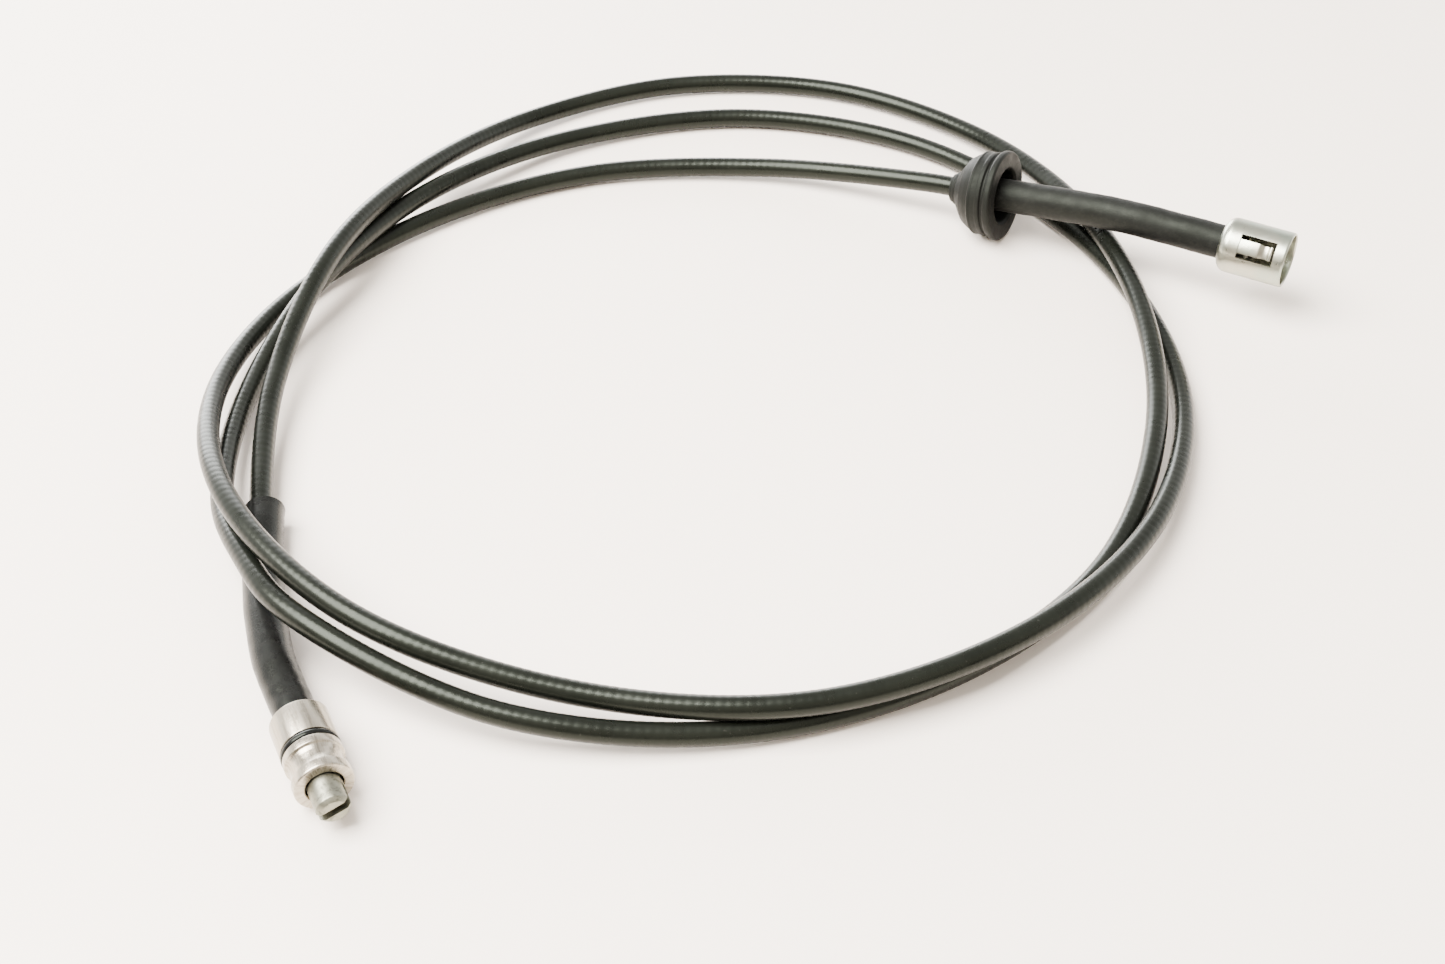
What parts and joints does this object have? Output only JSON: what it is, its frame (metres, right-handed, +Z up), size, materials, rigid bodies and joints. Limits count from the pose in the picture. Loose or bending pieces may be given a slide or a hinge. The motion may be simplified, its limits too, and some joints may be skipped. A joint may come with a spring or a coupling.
{
  "type": "speedometer drive cable",
  "caption": "Coiled flexible drive cable with a slotted spindle fitting at one end, a snap collar with a square tip at the other, and a bulkhead grommet on its sheath.",
  "frame": {"origin": "middle of the part's footprint, on the plane that it lies on", "axes": "+Z up, out of the plane of the coil; +X along the instrument end's axis, out of the snap collar's mouth; +Y across it, so that the gearbox end is on the -Y side"},
  "size_m": [0.2622, 0.3477, 0.0274],
  "materials": {
    "vinyl": "satin black vinyl, faintly ribbed by the wire under it",
    "hose_rubber": "smooth black hose",
    "grommet_rubber": "matt moulded rubber",
    "seal_rubber": "smooth nitrile",
    "aluminium": "fine turned",
    "steel": "oiled turned steel",
    "wire": "wound spring wire",
    "zinc_plate": "bright plated sheet",
    "bronze": "sintered bronze",
    "nylon": "natural nylon"
  },
  "bodies": {
    "cable": {"outer_sheath": "vinyl", "spiral_conduit": "wire", "flexible_shaft": "wire", "gearbox_fitting": "aluminium", "o_ring": "seal_rubber", "gearbox_ferrule": "steel", "bearing_bush": "bronze", "thrust_washer": "steel", "oil_seal": "seal_rubber", "gearbox_sleeve": "hose_rubber", "instrument_hose": "hose_rubber", "instrument_ferrule": "steel", "nose_bush": "nylon"},
    "spindle": {"drive_spindle": "steel", "shaft_end": "wire"},
    "tip": {"square_tip": "steel", "core_stop": "steel"},
    "collar": {"snap_collar": "zinc_plate"},
    "tongue": {"latch_tongue": "zinc_plate"},
    "grommet": {"bulkhead_grommet": "grommet_rubber"}
  },
  "joints": [
    {"name": "spindle_turn", "type": "hinge", "parent": "cable", "child": "spindle", "pos_m": [-0.0198, -0.1515, 0.007], "axis": [0.8047, -0.5937, 0], "continuous": true},
    {"name": "tip_turn", "type": "hinge", "parent": "cable", "child": "tip", "pos_m": [0.128, 0.121, 0.019], "axis": [1, 0, 0], "continuous": true},
    {"name": "collar_turn", "type": "hinge", "parent": "cable", "child": "collar", "pos_m": [0.128, 0.121, 0.019], "axis": [1, 0, 0], "continuous": true},
    {"name": "tongue_flex", "type": "hinge", "parent": "collar", "child": "tongue", "pos_m": [0.11445, 0.11469, 0.02342], "axis": [0, -0.5736, -0.8191], "range_deg": [-3, 5], "stiffness_Nm_per_rad": 1},
    {"name": "grommet_slide", "type": "slide", "parent": "cable", "child": "grommet", "axis": [0.9925, 0, 0.1219], "range_m": [-0.006, 0]}
  ],
  "couplings": [
    {"joint": "tip_turn", "follows": "spindle_turn", "ratio": -1}
  ]
}
